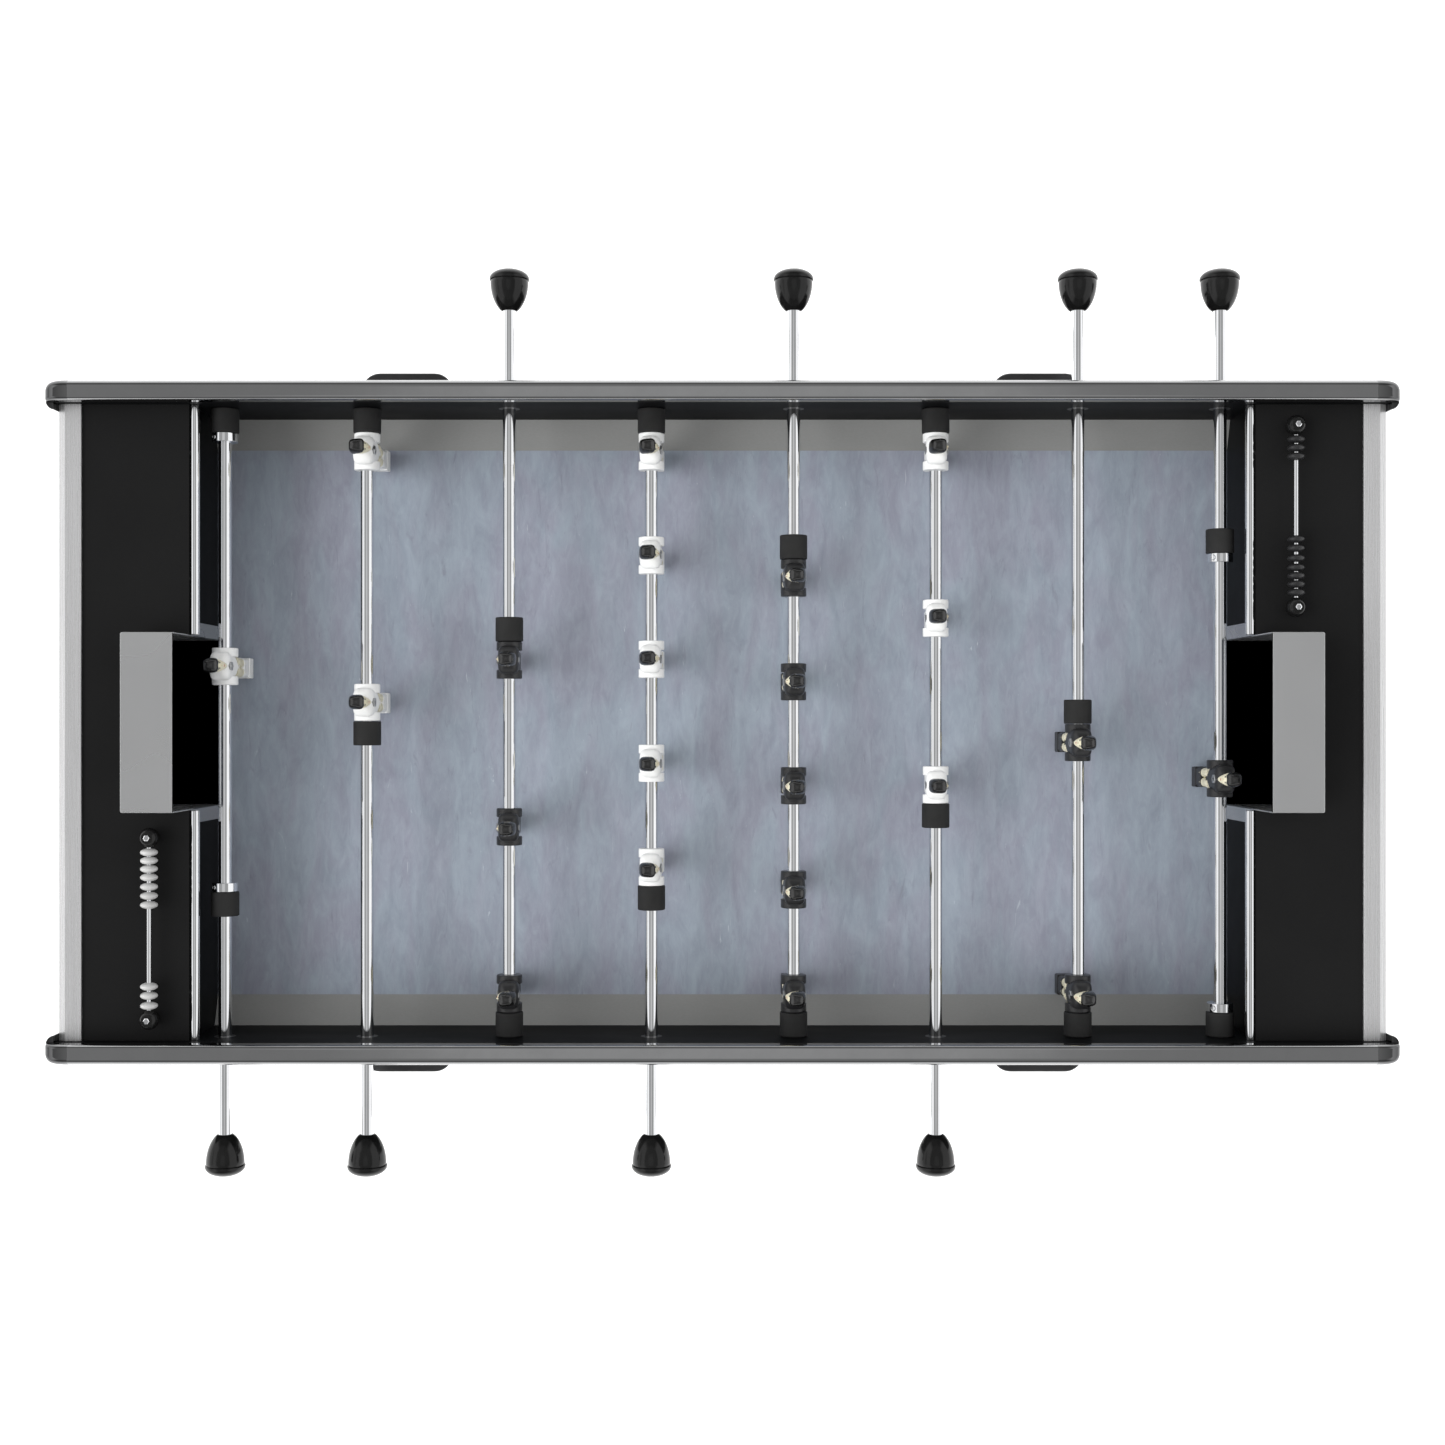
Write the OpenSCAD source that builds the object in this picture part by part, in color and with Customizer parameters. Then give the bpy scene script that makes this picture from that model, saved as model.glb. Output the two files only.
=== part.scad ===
// Foosball table with eight telescopic rods, two goals and bead score counters.
// The origin is on the floor under the middle of the table: +X runs along the field from
// goal to goal, +Y across it and +Z up. White figures face +X, black figures face -X.

/* [Field] */
// Length of the playing field between the end walls
field_length = 1184; // [1180:1:1190]
// Width of the playing field between the side panels
field_width = 706; // [700:1:712]
// Height of the playing field above the floor
field_height = 755; // [720:5:800]
// Height of the sloped strips where they meet the side panels
ramp_height = 14; // [8:1:20]
// Width of the sloped strips
ramp_width = 34; // [25:1:35]

/* [Cabinet] */
// Thickness of the side panels
panel_t = 22; // [20:1:25]
// Height of the end decks above the field
deck_height = 118; // [112:1:124]
// Depth of the cabinet below the field
cabinet_drop = 155; // [140:5:180]
// Half width of the goal mouth
goal_half = 97.3; // [90:0.1:100]
// Height of the goal hoods above the field
hood_height = 182; // [178:1:190]
// Depth of the goals behind the end walls
goal_depth = 56; // [50:1:60]

/* [Rods] */
// Distance from one rod to the next
rod_pitch = 160; // [158.5:0.5:162]
// Height of the rod axes above the field
rod_height = 88; // [86:0.5:92]
// Outer radius of the sliding tubes
tube_r = 7.5; // [7:0.1:8]
// Radius of the fixed inner rods
inner_r = 5; // [4:0.1:5.2]
// Radius of the rubber bumpers
bumper_r = 15.5; // [14:0.5:18]
// Length of the rubber bumpers
bumper_len = 27.2; // [20:0.2:30]

/* [Figures] */
// Length of the hub that holds a figure on its rod
hub_len = 41.6; // [38:0.2:44]
// Radius of the hub
hub_r = 14.4; // [13:0.1:15]
// Distance from the rod axis to the underside of the foot
foot_drop = 78; // [72:0.5:78.5]
// Angle at which a figure leans back
lean = 3.5; // [0:0.5:5]

/* [Legs] */
// Width of a leg along the table
leg_w = 105; // [90:1:110]
// Distance from the middle of the table to the middle of a leg
leg_x = 360; // [350:5:370]
// Thickness of the tongue that stands outside the side panel
tongue_t = 24; // [20:1:26]
// Depth of a leg below the cabinet
leg_d = 92; // [70:1:100]

/* [Hidden] */
RODS = [1:8];

black = "#1c1c1e";
silver = "#b8b8ba";
shiny = "#d8d8dc";
white = "#ecece8";

wall_y = field_width / 2;
end_x = field_length / 2;
outer_y = wall_y + panel_t;
rod_z = field_height + rod_height;
deck_z = field_height + deck_height;
base_z = field_height - cabinet_drop;
board_t = 12;
touch = 0.05;

// End of the table: end wall, deck, end board and end profile, from the field outwards.
end_wall_t = 16;
end_board_x = end_x + 123;
end_board_t = 22;
table_x = end_board_x + end_board_t;
profile_x = end_x + 119;
profile_top = deck_z + 3;
profile_bevel = 8;
profile_bevel_drop = 4;

// Top rail and its corner caps.
rail_z = deck_z + 16;
rail_h = 15.3;
rail_r = 5.3;
rail_w = panel_t + 0.6;
rail_x = table_x - 20;
cap_x = table_x + 8.6;
cap_r = 15;
cap_in = 8;
cap_nose_r = 28.3;

// Goal hood sheet, its flanges, and the chute below the goal.
sheet_t = 1.5;
flange_w = 15.3;
hood_x = end_x + goal_depth;
sill = 3;
chute_t = 4;
chute_wall_y = goal_half + chute_t;
chute_floor = field_height - 32;
outlet_floor = field_height - 55;
outlet_lip = 12;
chute_top = field_height + 4;

// Chrome bar on the inner edge of each deck.
bar_r = 5.2;
bar_z = deck_z - 5;
bar_x = end_x - bar_r - touch;
bar_pins = [160, 300];
bar_pin_r = 2.5;

// Rods: the players on each, and the team whose handles are on the -Y side.
players = [1, 2, 3, 5, 5, 3, 2, 1];
white_team = [true, true, false, true, false, true, false, false];
gap = 0.3;
fit = 0.06;
first_player = wall_y - bumper_len - 2 * gap - hub_len / 2;
spacing = [0, 0, 281.8, 187.2, 0, 116.7];
goalie_y = 63;
goalie_bumper = -190.3;
collar_len = 10;
collar_r = 14.75;
tube_end = wall_y - 1;
handle_y = 463.3;
tube_in_handle = 30;
inner_end = -267;
bush_r = 12;
bush_flange_r = 17;
bush_flange_t = 4;

// Score counters.
post_y = [127, 327.7];
counter_x = end_x + 40;
counter_z = deck_z + 14.5;
post_r = 11;
score_rod_r = 2.5;
bead_r = 9.55;
bead_half = 4.45;
won_white = [143, 152.2, 161.4, 170.6, 181, 191, 201];
left_white = [291, 301, 312.1];
won_black = [143.2, 152.4, 161.6, 170.8, 181, 192, 202];
left_black = [293, 302.5, 312];

// Legs, their bolts and feet.
leg_top = field_height + 60;
leg_bottom = 40;
leg_corner_r = 21.5;
bolt_z = [base_z + 40, base_z + 115];
bolt_r = 4;
foot_r = 30;
stem_r = 8;

function rod_x(n) = (n - 4.5) * rod_pitch;
function side(n) = white_team[n - 1] ? 1 : -1;
function count(n) = players[n - 1];
function is_goalie(n) = count(n) == 1;
function player_ys(n) = is_goalie(n) ? [goalie_y] :
    [for (i = [0:count(n) - 1]) first_player - i * spacing[count(n)]];
function last_hub_end(n) = player_ys(n)[count(n) - 1] - hub_len / 2;
function inner_bumper(n) = is_goalie(n) ? goalie_bumper : last_hub_end(n) - gap;

// Places its child at rod n, turned so that the handle side is -Y for white and +Y for black.
module on_rod(n) {
    translate([rod_x(n), 0, rod_z])
        scale_y_mirror(side(n))
            children();
}

module scale_y_mirror(s) {
    if (s > 0) children();
    else mirror([0, 1, 0]) children();
}

module both_ends() {
    children();
    mirror([1, 0, 0]) children();
}

module both_sides() {
    children();
    mirror([0, 1, 0]) children();
}

module four_corners() {
    both_ends() both_sides() children();
}

// A cylinder along Y from y1 to y2.
module bar_y(r, y1, y2) {
    translate([0, y2, 0])
        rotate([90, 0, 0])
            cylinder(r = r, h = y2 - y1, $fn = 48);
}

// A cylinder along X from x1 to x2.
module bar_x(r, x1, x2) {
    translate([x1, 0, 0])
        rotate([0, 90, 0])
            cylinder(r = r, h = x2 - x1, $fn = 48);
}

// An outline drawn in X and Z, extruded along Y between y1 and y2.
module along_y(y1, y2) {
    translate([0, y2, 0])
        rotate([90, 0, 0])
            linear_extrude(height = y2 - y1)
                children();
}

// An outline drawn in Y and Z, extruded along X between x1 and x2.
module along_x(x1, x2) {
    translate([x1, 0, 0])
        rotate([90, 0, 90])
            linear_extrude(height = x2 - x1)
                children();
}

// A rectangle from (x1, y1) to (x2, y2) with the corners in the list rounded.
module rounded_rect(x1, y1, x2, y2, r, corners = [0, 1, 2, 3]) {
    xs = [x1, x2, x2, x1];
    ys = [y1, y1, y2, y2];
    sx = [1, -1, -1, 1];
    sy = [1, 1, -1, -1];
    difference() {
        translate([x1, y1]) square([x2 - x1, y2 - y1]);
        for (i = corners)
            translate([xs[i], ys[i]])
                difference() {
                    square(2 * r, center = true);
                    translate([sx[i] * r, sy[i] * r]) circle(r = r, $fn = 64);
                    translate([sx[i] > 0 ? 0 : -2 * r, sy[i] > 0 ? r : -2 * r]) square([2 * r, r]);
                    translate([sx[i] > 0 ? r : -2 * r, sy[i] > 0 ? 0 : -2 * r]) square([r, 2 * r]);
                }
    }
}

// Cabinet

module side_panel(s) {
    color(black)
        difference() {
            scale_y_mirror(s)
                translate([-table_x, wall_y, base_z])
                    cube([2 * table_x, panel_t, rail_z - base_z]);
            for (n = RODS)
                translate([rod_x(n), 0, rod_z])
                    scale_y_mirror(s) bar_y(bush_r, wall_y - 1, outer_y + 1);
            both_ends()
                for (z = bolt_z)
                    translate([leg_x, 0, z])
                        scale_y_mirror(s) bar_y(bolt_r + touch, wall_y - 1, outer_y + 1);
        }
}

module base_board() {
    color(black)
        translate([-end_board_x, -wall_y, base_z])
            cube([2 * end_board_x, field_width, board_t]);
}

module end_boards() {
    color(black)
        both_ends()
            difference() {
                translate([end_board_x, -wall_y, base_z])
                    cube([end_board_t, field_width, deck_z - board_t - base_z]);
                translate([end_board_x - 1, -chute_wall_y, outlet_floor - chute_t])
                    cube([end_board_t + 2, 2 * chute_wall_y, chute_top - outlet_floor + chute_t]);
            }
}

module goal_walls() {
    wall_base = base_z + board_t;
    color(black)
        both_ends()
            difference() {
                translate([end_x, -wall_y, wall_base])
                    cube([end_wall_t, field_width, deck_z - board_t - wall_base]);
                translate([end_x - 1, -chute_wall_y, outlet_floor - 10])
                    cube([end_wall_t + 2, 2 * chute_wall_y, field_height - outlet_floor + 10]);
                translate([end_x - 1, -goal_half, field_height - 1])
                    cube([end_wall_t + 2, 2 * goal_half, deck_height + 2]);
                both_sides()
                    for (y = bar_pins)
                        translate([0, y, bar_z])
                            bar_x(bar_pin_r, end_x - 1, end_x + board_t);
            }
}

// The deck at the +X end (end = 1) or the -X end (end = -1), with the holes of its score counter.
module deck(end) {
    mirror([end > 0 ? 0 : 1, 0, 0])
        difference() {
            translate([end_x, -wall_y, deck_z - board_t])
                cube([profile_x - end_x, field_width, board_t]);
            translate([end_x - 1, -goal_half, deck_z - board_t - 1])
                cube([goal_depth + 1, 2 * goal_half, board_t + 2]);
            both_sides()
                for (y = bar_pins)
                    translate([0, y, bar_z])
                        bar_x(bar_pin_r, end_x - 1, end_x + board_t);
            for (y = post_y)
                translate([counter_x, end * y, deck_z - board_t / 2])
                    cylinder(r = 1.9, h = board_t, $fn = 24);
        }
}

module decks() {
    color(black)
        for (end = [1, -1])
            deck(end);
}

module playfield() {
    color("#7d8594")
        union() {
            translate([-end_x, -wall_y, field_height - board_t])
                cube([field_length, field_width, board_t]);
            both_ends()
                translate([end_x - 1, -chute_wall_y, field_height - board_t])
                    cube([sill + 1, 2 * chute_wall_y, board_t]);
        }
}

module side_ramps() {
    color("#76767a")
        both_sides()
            along_x(-end_x, end_x)
                translate([wall_y, field_height])
                    polygon([[-ramp_width, 0], [0, 0], [0, ramp_height]]);
}

module end_profiles() {
    color(silver)
        both_ends()
            along_y(-wall_y, wall_y)
                polygon([
                    [profile_x, deck_z - board_t],
                    [table_x, deck_z - board_t],
                    [table_x, profile_top - profile_bevel_drop],
                    [table_x - profile_bevel, profile_top],
                    [profile_x, profile_top]
                ]);
}

module top_rails() {
    color(shiny)
        both_sides()
            along_x(-rail_x, rail_x)
                rounded_rect(wall_y, rail_z, wall_y + rail_w, rail_z + rail_h, rail_r, [2, 3]);
}

// Side view of a corner cap: its top curves down to the end of the table.
module cap_nose() {
    along_y(wall_y - cap_in - 1, wall_y + rail_w + 1)
        rounded_rect(rail_x, deck_z - board_t, cap_x, rail_z + rail_h, cap_nose_r, [2]);
}

module rail_end_caps() {
    color(shiny)
        four_corners()
            intersection() {
                cap_nose();
                union() {
                    intersection() {
                        translate([0, 0, rail_z])
                            linear_extrude(height = rail_h)
                                rounded_rect(rail_x, wall_y, cap_x, wall_y + rail_w, cap_r, [2]);
                        along_x(rail_x, cap_x)
                            rounded_rect(wall_y, rail_z - rail_h, wall_y + rail_w, rail_z + rail_h, rail_r, [2, 3]);
                    }
                    difference() {
                        translate([0, 0, deck_z - board_t])
                            linear_extrude(height = rail_z - deck_z + board_t)
                                rounded_rect(rail_x, wall_y - cap_in, cap_x, wall_y + rail_w, cap_r, [1, 2]);
                        translate([rail_x - 1, wall_y - cap_in - 1, 0])
                            cube([table_x - rail_x + 1, 2 * cap_in + panel_t, 2 * rail_z]);
                    }
                }
            }
}

module wall_bars() {
    color(shiny)
        four_corners()
            union() {
                translate([bar_x, 0, bar_z])
                    bar_y(bar_r, goal_half + gap, wall_y - touch);
                for (y = bar_pins)
                    translate([0, y, bar_z])
                        bar_x(bar_pin_r, bar_x, end_x + 10);
            }
}

// Goals

module goal_hoods() {
    hood_top = field_height + hood_height;
    inside_y = goal_half - sheet_t;
    color("#a0a0a0")
        both_ends()
            union() {
                difference() {
                    translate([end_x - sheet_t, -goal_half, field_height])
                        cube([goal_depth + sheet_t, 2 * goal_half, hood_height]);
                    translate([end_x - sheet_t - 1, -inside_y, field_height - 1])
                        cube([goal_depth + 1, 2 * inside_y, hood_height + 1 - sheet_t]);
                    translate([end_x - sheet_t - 1, -goal_half - 1, hood_top - 2 * sheet_t])
                        cube([1 + sheet_t, 2 * goal_half + 2, 3 * sheet_t]);
                }
                both_sides()
                    translate([end_x - sheet_t, inside_y, field_height])
                        cube([sheet_t, sheet_t + flange_w, bar_z - bar_r - field_height - gap]);
            }
}

// The chute's side view: a sloped floor from the goal to a tray behind a low lip.
module chute_void() {
    polygon([
        [end_x + 2 * sill, chute_floor],
        [end_board_x, outlet_floor],
        [table_x - 2 * sill, outlet_floor],
        [table_x - 2 * sill, outlet_floor + outlet_lip],
        [table_x + 1, outlet_floor + outlet_lip],
        [table_x + 1, field_height],
        [hood_x, field_height],
        [hood_x, chute_top + 1],
        [end_x + 2 * sill, chute_top + 1]
    ]);
}

module chute_body() {
    polygon([
        [end_x + sill, chute_floor - chute_t],
        [end_board_x, outlet_floor - chute_t],
        [table_x, outlet_floor - chute_t],
        [table_x, chute_top],
        [hood_x, chute_top],
        [hood_x, field_height],
        [end_x + sill, field_height]
    ]);
}

module ball_chutes() {
    color("#151515")
        both_ends()
            difference() {
                along_y(-chute_wall_y, chute_wall_y) chute_body();
                along_y(-goal_half, goal_half) chute_void();
            }
}

// Rods

module rod_bushes() {
    color("#202022")
        for (n = RODS)
            on_rod(n) {
                difference() {
                    union() {
                        bar_y(bush_r, -outer_y, -wall_y);
                        bar_y(bush_flange_r, -outer_y - bush_flange_t, -outer_y);
                    }
                    bar_y(tube_r + fit, -outer_y - bush_flange_t - 1, -wall_y + 1);
                }
                difference() {
                    union() {
                        bar_y(bush_r, wall_y, outer_y);
                        bar_y(bush_flange_r, outer_y, outer_y + bush_flange_t);
                    }
                    bar_y(inner_r, wall_y - 1, outer_y);
                }
            }
}

module inner_rods() {
    color("#8c8c90")
        for (n = RODS)
            on_rod(n) bar_y(inner_r, inner_end, outer_y);
}

module tube(n) {
    color(shiny)
        on_rod(n)
            difference() {
                bar_y(tube_r, -handle_y - tube_in_handle, tube_end);
                bar_y(inner_r + fit, -handle_y, tube_end + 1);
            }
}

module bumper(y) {
    difference() {
        bar_y(bumper_r, y - bumper_len, y);
        bar_y(tube_r + fit, y - bumper_len - 1, y + 1);
    }
}

module bumpers(n) {
    color("#232323")
        on_rod(n) {
            bumper(wall_y - gap);
            bumper(inner_bumper(n));
        }
}

// A goalie's bumpers are held by collars instead of by the figures' hubs.
module collar(y) {
    difference() {
        bar_y(collar_r, y - collar_len / 2, y + collar_len / 2);
        bar_y(tube_r, y - collar_len, y + collar_len);
        for (a = [-45, 135])
            translate([0, y, 0])
                rotate([0, a, 0])
                    translate([0, 0, collar_r - 1.5])
                        cylinder(r = 3.2, h = 3, $fn = 32);
    }
}

module collars(n) {
    color(shiny)
        on_rod(n) {
            collar(wall_y - gap - bumper_len - gap - collar_len / 2);
            collar(goalie_bumper + gap + collar_len / 2);
        }
}

// Half outline of a handle: distance from its inner end, and radius.
// The neck swells into a bell, a groove follows, and a dome closes the outer end.
module handle_outline() {
    bell = 33.8;
    neck_r = 8.8;
    bell_r = 21.4;
    lip_r = 22.4;
    dome = 13.5;
    steps = 8;
    polygon(concat(
        [[0, 0], [0, neck_r]],
        [for (i = [1:steps])
            let (a = 90 * i / steps)
            [bell * (1 - cos(a)) * 0.55 + bell * 0.45 * i / steps, neck_r + (bell_r - neck_r) * sin(a)]],
        [[bell, lip_r], [bell + 2, lip_r]],
        [for (i = [1:steps])
            let (a = 90 * i / steps)
            [bell + 2 + (dome - 2) * sin(a), lip_r * cos(a)]]
    ));
}

module handle(n) {
    color("#101011")
        on_rod(n)
            difference() {
                translate([0, -handle_y, 0])
                    rotate([90, 0, 0])
                        rotate_extrude($fn = 64)
                            rotate(90) mirror([0, 1]) handle_outline();
                bar_y(tube_r, -handle_y - tube_in_handle, -handle_y + 1);
            }
}

// Figures: each outline is drawn with the rod axis at the origin and the figure facing +X.

module torso() {
    shoulder_r = 18.5;
    intersection() {
        along_x(-20, 20)
            intersection() {
                translate([0, 28 - shoulder_r]) circle(r = shoulder_r, $fn = 64);
                translate([-16, -12]) square([32, 60]);
            }
        along_y(-20, 20)
            union() {
                translate([0, 16]) circle(r = 12, $fn = 48);
                translate([-12, -12]) square([24, 28]);
            }
    }
}

// The thighs narrow to the knees, and a square boot closes the figure below.
module legs_of_figure() {
    front = [[-8, 12], [-14, 12.1], [-30, 8.7], [-47, 7.1], [-foot_drop, 7.6]];
    back = [[-foot_drop, -9], [-50, -8.5], [-30, -8.5], [-8, -11.5]];
    flank = [[-8, 13], [-20, 12.5], [-40, 10], [-45, 10.5], [-47, 11.8], [-foot_drop, 11.8]];
    intersection() {
        along_x(-20, 20)
            polygon(concat(
                [for (p = flank) [p[1], p[0]]],
                [for (i = [len(flank) - 1:-1:0]) [-flank[i][1], flank[i][0]]]
            ));
        along_y(-20, 20)
            polygon([for (p = concat(front, back)) [p[1], p[0]]]);
    }
}

// The skull, the chin in front of it and a square cap of hair.
module head() {
    translate([0, 0, 24]) cylinder(r = 5, h = 14, $fn = 32);
    translate([0.5, 0, 42]) sphere(r = 9, $fn = 48);
    translate([4, 0, 33.5]) sphere(r = 6.5, $fn = 48);
    translate([0, 0, 44])
        linear_extrude(height = 14.3)
            rounded_rect(-9.7, -8.2, 6.5, 8.2, 4.5);
}

module player(y, facing) {
    translate([0, y, 0])
        difference() {
            union() {
                bar_y(hub_r, -hub_len / 2, hub_len / 2);
                rotate([0, facing > 0 ? -lean : 180 + lean, 0])
                    mirror([0, 0, facing > 0 ? 0 : 1])
                        union() {
                            torso();
                            legs_of_figure();
                            head();
                            translate([0, 0, 16]) bar_x(5.5, 8, 13.4);
                            translate([0, 0, 16]) bar_x(5, -12.5, -8);
                        }
            }
            bar_y(tube_r, -hub_len, hub_len);
        }
}

module player_group(n) {
    color(white_team[n - 1] ? white : black)
        on_rod(n)
            for (y = player_ys(n))
                player(y, side(n));
}

// Score counters: the white counter is at the -X end on the -Y side, the black one is opposite.

module at_counter(s) {
    translate([-s * counter_x, 0, counter_z])
        scale_y_mirror(-s)
            children();
}

module at_counters() {
    for (s = [1, -1])
        at_counter(s) children();
}

module score_posts() {
    stem_drop = counter_z - deck_z;
    color(black)
        at_counters()
            for (i = [0, 1])
                translate([0, post_y[i], 0])
                    difference() {
                        union() {
                            sphere(r = post_r, $fn = 64);
                            translate([0, 0, -stem_drop]) cylinder(r = 7.5, h = stem_drop, $fn = 48);
                        }
                        translate([-post_r, -post_r, 9]) cube(2 * post_r);
                        translate([0, 0, -post_r - 9]) cylinder(r = 1.9, h = 40, $fn = 24);
                        translate([-post_r, -post_r, -stem_drop - 20]) cube([2 * post_r, 2 * post_r, 20]);
                        bar_y(score_rod_r, i == 0 ? 3 : -post_r - 1, i == 0 ? post_r + 1 : -3);
                    }
}

module score_screws() {
    color(silver)
        at_counters()
            for (y = post_y)
                translate([0, y, 0])
                    union() {
                        translate([0, 0, 9]) cylinder(r = 3.6, h = 2.2, $fn = 32);
                        translate([0, 0, deck_z - board_t / 2 - counter_z])
                            cylinder(r = 1.9, h = counter_z - deck_z + board_t / 2 + 9, $fn = 24);
                    }
}

module score_rods() {
    color(shiny)
        at_counters()
            bar_y(score_rod_r, post_y[0] + 3, post_y[1] - 3);
}

// A lens-shaped bead, its outline a half ellipse around the rod.
module bead() {
    steps = 8;
    bore = score_rod_r + 0.08;
    rotate([90, 0, 0])
        rotate_extrude($fn = 48)
            polygon(concat(
                [[bore, bead_half * 0.75]],
                [for (i = [0:2 * steps])
                    let (a = 90 - 90 * i / steps)
                    [4 + (bead_r - 4) * cos(a), bead_half * sin(a)]],
                [[bore, -bead_half * 0.75]]
            ));
}

module beads(s, ys, colour) {
    color(colour)
        at_counter(s)
            for (y = ys)
                translate([0, y, 0]) bead();
}

// Legs

module legs() {
    tongue_y = outer_y + tongue_t;
    color(black)
        four_corners()
            difference() {
                union() {
                    translate([0, 0, leg_bottom])
                        linear_extrude(height = base_z - leg_bottom)
                            rounded_rect(leg_x - leg_w / 2, tongue_y - leg_d,
                                leg_x + leg_w / 2, tongue_y, leg_corner_r);
                    translate([0, 0, leg_bottom])
                        linear_extrude(height = leg_top - leg_bottom)
                            rounded_rect(leg_x - leg_w / 2, outer_y,
                                leg_x + leg_w / 2, tongue_y, leg_corner_r, [2, 3]);
                }
                for (z = bolt_z)
                    translate([leg_x, 0, z])
                        bar_y(bolt_r + touch, outer_y - 1, tongue_y + 1);
                translate([leg_x, tongue_y - leg_d / 2, leg_bottom - 1])
                    cylinder(r = stem_r + touch, h = 46, $fn = 48);
            }
}

module levelling_feet() {
    color(silver)
        four_corners()
            translate([leg_x, outer_y + tongue_t - leg_d / 2, 0])
                union() {
                    cylinder(r = foot_r, h = 8, $fn = 64);
                    translate([0, 0, 8]) cylinder(r1 = foot_r, r2 = 14, h = 8, $fn = 64);
                    cylinder(r = stem_r, h = leg_bottom + 35, $fn = 48);
                    translate([0, 0, leg_bottom - 9]) cylinder(r = 14, h = 9, $fn = 6);
                }
}

module leg_bolts() {
    head_y = outer_y + tongue_t;
    color(silver)
        four_corners()
            for (z = bolt_z)
                translate([leg_x, 0, z])
                    union() {
                        bar_y(bolt_r, wall_y - 10, head_y);
                        bar_y(10, head_y, head_y + 4);
                        bar_y(9, wall_y - 1.6, wall_y);
                        translate([0, wall_y - 1.6, 0])
                            rotate([90, 0, 0])
                                cylinder(r = 7.5, h = 6.5, $fn = 6);
                    }
}

side_panel(-1);  // side_panel_front
side_panel(1);  // side_panel_back
end_boards();
goal_walls();
decks();
playfield();
side_ramps();
base_board();
top_rails();
rail_end_caps();
end_profiles();
wall_bars();
goal_hoods();
ball_chutes();
legs();
levelling_feet();
leg_bolts();
rod_bushes();
inner_rods();
score_posts();
score_rods();
score_screws();
for (n = RODS) {
    bumpers(n);
    tube(n);
    player_group(n);
    handle(n);
}
collars(1);  // collars_1
collars(8);  // collars_8
beads(1, won_white, white);  // white_beads_won
beads(1, left_white, white);  // white_beads_left
beads(-1, won_black, black);  // black_beads_won
beads(-1, left_black, black);  // black_beads_left
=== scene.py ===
"""Looks of the foosball table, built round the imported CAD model.

Shapes are worked out in millimetres and stored in metres. Every position comes from the boxes of
the CAD nodes, and each new piece takes the place of the node that it details.
"""

import math

import bmesh
import bpy
import numpy as np
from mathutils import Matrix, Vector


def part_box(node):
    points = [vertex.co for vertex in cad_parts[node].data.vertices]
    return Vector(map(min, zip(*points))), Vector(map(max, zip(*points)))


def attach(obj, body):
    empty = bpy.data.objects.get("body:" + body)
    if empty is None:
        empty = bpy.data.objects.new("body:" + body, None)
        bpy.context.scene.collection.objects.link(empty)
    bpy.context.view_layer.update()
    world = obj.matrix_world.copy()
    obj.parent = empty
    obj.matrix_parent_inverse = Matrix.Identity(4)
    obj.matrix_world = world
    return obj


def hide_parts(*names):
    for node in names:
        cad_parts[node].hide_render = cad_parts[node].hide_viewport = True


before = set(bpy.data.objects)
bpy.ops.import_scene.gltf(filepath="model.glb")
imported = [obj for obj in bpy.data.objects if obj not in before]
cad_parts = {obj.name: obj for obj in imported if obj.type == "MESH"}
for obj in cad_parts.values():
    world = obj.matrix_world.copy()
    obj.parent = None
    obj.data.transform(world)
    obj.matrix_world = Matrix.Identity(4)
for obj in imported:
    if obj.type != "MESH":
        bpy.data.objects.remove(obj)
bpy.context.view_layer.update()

MM = 0.001
RODS = range(1, 9)
MEN = dict(zip(RODS, (1, 2, 3, 5, 5, 3, 2, 1)))
WHITE_RODS = (1, 2, 4, 6)
AXES = {"x": (0, 1, 2), "y": (1, 0, 2), "z": (2, 0, 1)}
CAMERA_HEIGHT = 2.925
CAMERA_LENS = 46.06


def box(node):
    """Lowest and highest corner of a CAD node, in millimetres."""
    low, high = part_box(node)
    return np.array(low) / MM, np.array(high) / MM


WALL = -box("side_panel_front")[1][1]
WALL_OUTSIDE = -box("side_panel_front")[0][1]
TABLE_END = box("side_panel_front")[1][0]


# Shapes: each is (points, faces), where faces is a list of arrays with one face in each row.

def outward(points, faces):
    """Turns every face round if the enclosed volume is negative: a sixth of the sum of a . (b x c)
    over the fan of triangles of each face."""
    volume = sum(
        np.sum(points[f][:, :1] * np.cross(points[f][:, 1:-1], points[f][:, 2:])) for f in faces
    )
    return faces if volume > 0 else [f[:, ::-1] for f in faces]


def skin(grid, loop=False):
    """Closed skin over a grid of rings: point (i, j) joins (i, j + 1), (i + 1, j + 1) and (i + 1, j).
    With loop the last ring joins the first; otherwise a flat face closes each end ring."""
    rings, around = grid.shape[:2]
    i = np.arange(rings if loop else rings - 1)[:, None]
    j = np.arange(around)[None]
    k, m = (i + 1) % rings, (j + 1) % around
    quads = np.stack([i * around + j, i * around + m, k * around + m, k * around + j], -1)
    faces = [quads.reshape(-1, 4)]
    if not loop:
        end = np.arange(around)[None]
        faces += [end[:, ::-1], end + (rings - 1) * around]
    points = grid.reshape(-1, 3)
    return points, outward(points, faces)


def distinct(outline):
    """The outline without points that repeat the one before them."""
    step = np.linalg.norm(outline - np.roll(outline, 1, 0), axis=1)
    return outline[step > 1e-6]


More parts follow.
